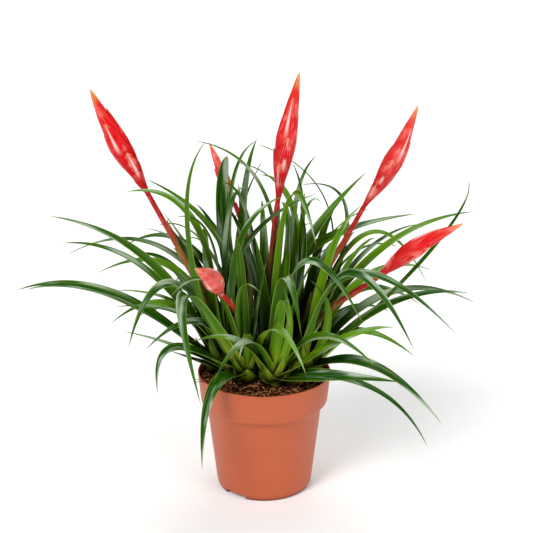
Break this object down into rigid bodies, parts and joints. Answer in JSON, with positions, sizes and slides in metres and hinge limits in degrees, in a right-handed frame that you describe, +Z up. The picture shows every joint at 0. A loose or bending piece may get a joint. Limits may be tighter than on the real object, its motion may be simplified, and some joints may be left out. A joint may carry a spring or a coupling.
{
  "type": "potted bromeliad",
  "caption": "Potted flaming sword bromeliad: arching green strap leaves in crowded rosettes, with red sword-shaped flower spikes, in a round terracotta-coloured nursery pot.",
  "frame": {"origin": "centre of the pot's underside, on the surface that it stands on", "axes": "+Z up, +X to the right along the plant's widest spread, +Y away from the front"},
  "size_m": [0.401, 0.3118, 0.382],
  "materials": {
    "pot_plastic": "satin",
    "potting_mix": "matte",
    "leaf": "satin",
    "scape": "satin",
    "bract": "gloss"
  },
  "bodies": {
    "root": {"pot": "pot_plastic", "soil": "potting_mix", "rosette_front_left": "leaf", "rosette_front": "leaf", "rosette_right": "leaf", "rosette_left": "leaf", "rosette_back_left": "leaf", "rosette_middle": "leaf", "rosette_back_right": "leaf", "scape_front_left": "scape", "scape_right": "scape", "scape_left": "scape", "scape_back_left": "scape", "scape_middle": "scape", "scape_back_right": "scape", "sword_front_left": "bract", "sword_right": "bract", "sword_left": "bract", "sword_back_left": "bract", "sword_middle": "bract", "sword_back_right": "bract"}
  },
  "joints": []
}
